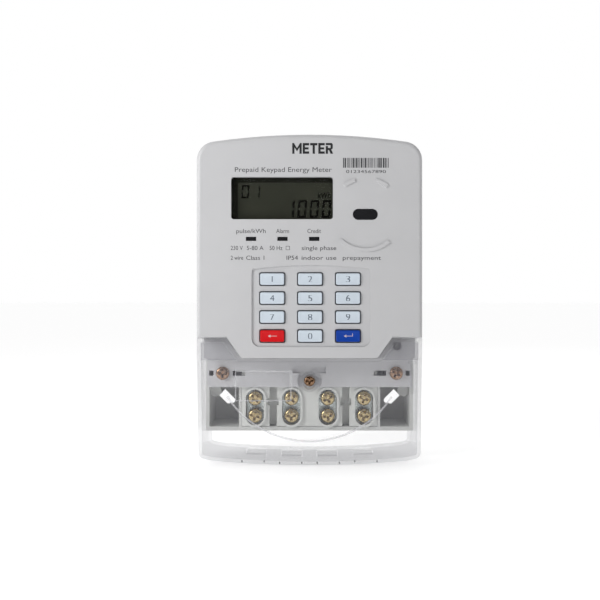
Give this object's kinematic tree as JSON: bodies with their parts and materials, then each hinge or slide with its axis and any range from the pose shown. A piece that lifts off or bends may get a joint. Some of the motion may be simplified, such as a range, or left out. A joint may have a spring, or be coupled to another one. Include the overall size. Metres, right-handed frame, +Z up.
{
  "type": "prepaid electricity meter",
  "caption": "Wall-mounted keypad energy meter with a display window, spring-back keys and a clear lift-off cover over screw-clamp cable terminals.",
  "frame": {"origin": "centre of the back face, on the wall", "axes": "+Z up, -Y out of the wall towards the user, +X to the user's right"},
  "size_m": [0.12, 0.0608, 0.176],
  "materials": {
    "base_plastic": "fine spark texture",
    "cover_plastic": "fine spark texture",
    "clear_plastic": "polished clear moulding",
    "display_pane": "polished clear pane",
    "dark_window": "polished dark resin",
    "key_white": "satin",
    "key_red": "satin",
    "key_blue": "satin",
    "silicone": "soft matt",
    "block_plastic": "glass filled, matt",
    "brass": "machined",
    "plate_steel": "blue zinc plated",
    "screw_gold": "yellow zinc plated",
    "screw_bronze": "bronze passivated",
    "circuit_board": "solder resist",
    "display_glass": "liquid crystal glass",
    "white_plastic": "moulded",
    "led_resin": "clear epoxy",
    "infrared_resin": "dark epoxy",
    "bright_steel": "bright zinc plated",
    "black_plastic": "moulded",
    "copper": "bare rolled strip",
    "lamination_steel": "varnished laminations",
    "capacitor_sleeve": "shrink sleeve",
    "battery_sleeve": "shrink sleeve",
    "seal_rubber": "matt"
  },
  "bodies": {
    "meter": {"base_housing": "base_plastic", "terminal_chamber": "base_plastic", "front_cover": "cover_plastic", "display_window": "display_pane", "optical_window": "dark_window", "indicator_lenses": "dark_window", "keypad_mat": "silicone", "terminal_block": "block_plastic", "busbar_guide": "block_plastic", "terminal_1": "brass", "terminal_2": "brass", "terminal_3": "brass", "terminal_4": "brass", "screw_insert": "brass", "case_screws": "screw_bronze", "display_board": "circuit_board", "main_board": "circuit_board", "lcd_panel": "display_glass", "lcd_holder": "white_plastic", "board_link": "white_plastic", "indicator_leds": "led_resin", "infrared_pair": "infrared_resin", "board_screws": "bright_steel", "relay": "black_plastic", "buzzer": "black_plastic", "cover_switch": "black_plastic", "shunt": "copper", "load_busbar": "copper", "neutral_link": "copper", "transformer": "lamination_steel", "capacitors": "capacitor_sleeve", "backup_battery": "battery_sleeve", "case_gasket": "seal_rubber"},
    "terminal_cover": {"terminal_cover": "clear_plastic"},
    "cover_screw": {"cover_screw": "screw_bronze"},
    "switch_plunger": {"switch_plunger": "white_plastic"},
    "key_0": {"key_0": "key_white"},
    "key_1": {"key_1": "key_white"},
    "key_2": {"key_2": "key_white"},
    "key_3": {"key_3": "key_white"},
    "key_4": {"key_4": "key_white"},
    "key_5": {"key_5": "key_white"},
    "key_6": {"key_6": "key_white"},
    "key_7": {"key_7": "key_white"},
    "key_8": {"key_8": "key_white"},
    "key_9": {"key_9": "key_white"},
    "key_clear": {"key_clear": "key_red"},
    "key_enter": {"key_enter": "key_blue"},
    "clamp_1": {"clamp_plate_1": "plate_steel"},
    "clamp_1_upper_screw": {"clamp_screw_1_upper": "screw_gold"},
    "clamp_1_lower_screw": {"clamp_screw_1_lower": "screw_gold"},
    "clamp_2": {"clamp_plate_2": "plate_steel"},
    "clamp_2_upper_screw": {"clamp_screw_2_upper": "screw_gold"},
    "clamp_2_lower_screw": {"clamp_screw_2_lower": "screw_gold"},
    "clamp_3": {"clamp_plate_3": "plate_steel"},
    "clamp_3_upper_screw": {"clamp_screw_3_upper": "screw_gold"},
    "clamp_3_lower_screw": {"clamp_screw_3_lower": "screw_gold"},
    "clamp_4": {"clamp_plate_4": "plate_steel"},
    "clamp_4_upper_screw": {"clamp_screw_4_upper": "screw_gold"},
    "clamp_4_lower_screw": {"clamp_screw_4_lower": "screw_gold"}
  },
  "joints": [
    {"name": "key_0_press", "type": "slide", "parent": "meter", "child": "key_0", "axis": [0, 1, 0], "range_m": [0, 0.0012], "stiffness_N_per_m": 800},
    {"name": "key_1_press", "type": "slide", "parent": "meter", "child": "key_1", "axis": [0, 1, 0], "range_m": [0, 0.0012], "stiffness_N_per_m": 800},
    {"name": "key_2_press", "type": "slide", "parent": "meter", "child": "key_2", "axis": [0, 1, 0], "range_m": [0, 0.0012], "stiffness_N_per_m": 800},
    {"name": "key_3_press", "type": "slide", "parent": "meter", "child": "key_3", "axis": [0, 1, 0], "range_m": [0, 0.0012], "stiffness_N_per_m": 800},
    {"name": "key_4_press", "type": "slide", "parent": "meter", "child": "key_4", "axis": [0, 1, 0], "range_m": [0, 0.0012], "stiffness_N_per_m": 800},
    {"name": "key_5_press", "type": "slide", "parent": "meter", "child": "key_5", "axis": [0, 1, 0], "range_m": [0, 0.0012], "stiffness_N_per_m": 800},
    {"name": "key_6_press", "type": "slide", "parent": "meter", "child": "key_6", "axis": [0, 1, 0], "range_m": [0, 0.0012], "stiffness_N_per_m": 800},
    {"name": "key_7_press", "type": "slide", "parent": "meter", "child": "key_7", "axis": [0, 1, 0], "range_m": [0, 0.0012], "stiffness_N_per_m": 800},
    {"name": "key_8_press", "type": "slide", "parent": "meter", "child": "key_8", "axis": [0, 1, 0], "range_m": [0, 0.0012], "stiffness_N_per_m": 800},
    {"name": "key_9_press", "type": "slide", "parent": "meter", "child": "key_9", "axis": [0, 1, 0], "range_m": [0, 0.0012], "stiffness_N_per_m": 800},
    {"name": "key_clear_press", "type": "slide", "parent": "meter", "child": "key_clear", "axis": [0, 1, 0], "range_m": [0, 0.0012], "stiffness_N_per_m": 800},
    {"name": "key_enter_press", "type": "slide", "parent": "meter", "child": "key_enter", "axis": [0, 1, 0], "range_m": [0, 0.0012], "stiffness_N_per_m": 800},
    {"name": "terminal_cover_lift", "type": "slide", "parent": "meter", "child": "terminal_cover", "axis": [0, -1, 0], "range_m": [0, 0.07]},
    {"name": "cover_screw_turn", "type": "hinge", "parent": "terminal_cover", "child": "cover_screw", "pos_m": [0, -0.0434, -0.044], "axis": [0, 1, 0], "continuous": true},
    {"name": "switch_plunger_slide", "type": "slide", "parent": "meter", "child": "switch_plunger", "axis": [0, -1, 0], "range_m": [0, 0.0008]},
    {"name": "clamp_1_slide", "type": "slide", "parent": "meter", "child": "clamp_1", "axis": [0, 1, 0], "range_m": [0, 0.005]},
    {"name": "clamp_1_upper_screw_turn", "type": "hinge", "parent": "clamp_1", "child": "clamp_1_upper_screw", "pos_m": [-0.03, -0.0373, -0.0542], "axis": [0, 1, 0], "range_deg": [0, 2250]},
    {"name": "clamp_1_lower_screw_turn", "type": "hinge", "parent": "clamp_1", "child": "clamp_1_lower_screw", "pos_m": [-0.03, -0.0373, -0.0638], "axis": [0, 1, 0], "range_deg": [0, 2250]},
    {"name": "clamp_2_slide", "type": "slide", "parent": "meter", "child": "clamp_2", "axis": [0, 1, 0], "range_m": [0, 0.005]},
    {"name": "clamp_2_upper_screw_turn", "type": "hinge", "parent": "clamp_2", "child": "clamp_2_upper_screw", "pos_m": [-0.01, -0.0373, -0.0542], "axis": [0, 1, 0], "range_deg": [0, 2250]},
    {"name": "clamp_2_lower_screw_turn", "type": "hinge", "parent": "clamp_2", "child": "clamp_2_lower_screw", "pos_m": [-0.01, -0.0373, -0.0638], "axis": [0, 1, 0], "range_deg": [0, 2250]},
    {"name": "clamp_3_slide", "type": "slide", "parent": "meter", "child": "clamp_3", "axis": [0, 1, 0], "range_m": [0, 0.005]},
    {"name": "clamp_3_upper_screw_turn", "type": "hinge", "parent": "clamp_3", "child": "clamp_3_upper_screw", "pos_m": [0.01, -0.0373, -0.0542], "axis": [0, 1, 0], "range_deg": [0, 2250]},
    {"name": "clamp_3_lower_screw_turn", "type": "hinge", "parent": "clamp_3", "child": "clamp_3_lower_screw", "pos_m": [0.01, -0.0373, -0.0638], "axis": [0, 1, 0], "range_deg": [0, 2250]},
    {"name": "clamp_4_slide", "type": "slide", "parent": "meter", "child": "clamp_4", "axis": [0, 1, 0], "range_m": [0, 0.005]},
    {"name": "clamp_4_upper_screw_turn", "type": "hinge", "parent": "clamp_4", "child": "clamp_4_upper_screw", "pos_m": [0.03, -0.0373, -0.0542], "axis": [0, 1, 0], "range_deg": [0, 2250]},
    {"name": "clamp_4_lower_screw_turn", "type": "hinge", "parent": "clamp_4", "child": "clamp_4_lower_screw", "pos_m": [0.03, -0.0373, -0.0638], "axis": [0, 1, 0], "range_deg": [0, 2250]}
  ],
  "couplings": [
    {"joint": "switch_plunger_slide", "follows": "terminal_cover_lift", "ratio": 0.0113},
    {"joint": "clamp_1_upper_screw_turn", "follows": "clamp_1_slide", "rad_per_m": 7850},
    {"joint": "clamp_1_lower_screw_turn", "follows": "clamp_1_slide", "rad_per_m": 7850},
    {"joint": "clamp_2_upper_screw_turn", "follows": "clamp_2_slide", "rad_per_m": 7850},
    {"joint": "clamp_2_lower_screw_turn", "follows": "clamp_2_slide", "rad_per_m": 7850},
    {"joint": "clamp_3_upper_screw_turn", "follows": "clamp_3_slide", "rad_per_m": 7850},
    {"joint": "clamp_3_lower_screw_turn", "follows": "clamp_3_slide", "rad_per_m": 7850},
    {"joint": "clamp_4_upper_screw_turn", "follows": "clamp_4_slide", "rad_per_m": 7850},
    {"joint": "clamp_4_lower_screw_turn", "follows": "clamp_4_slide", "rad_per_m": 7850}
  ]
}
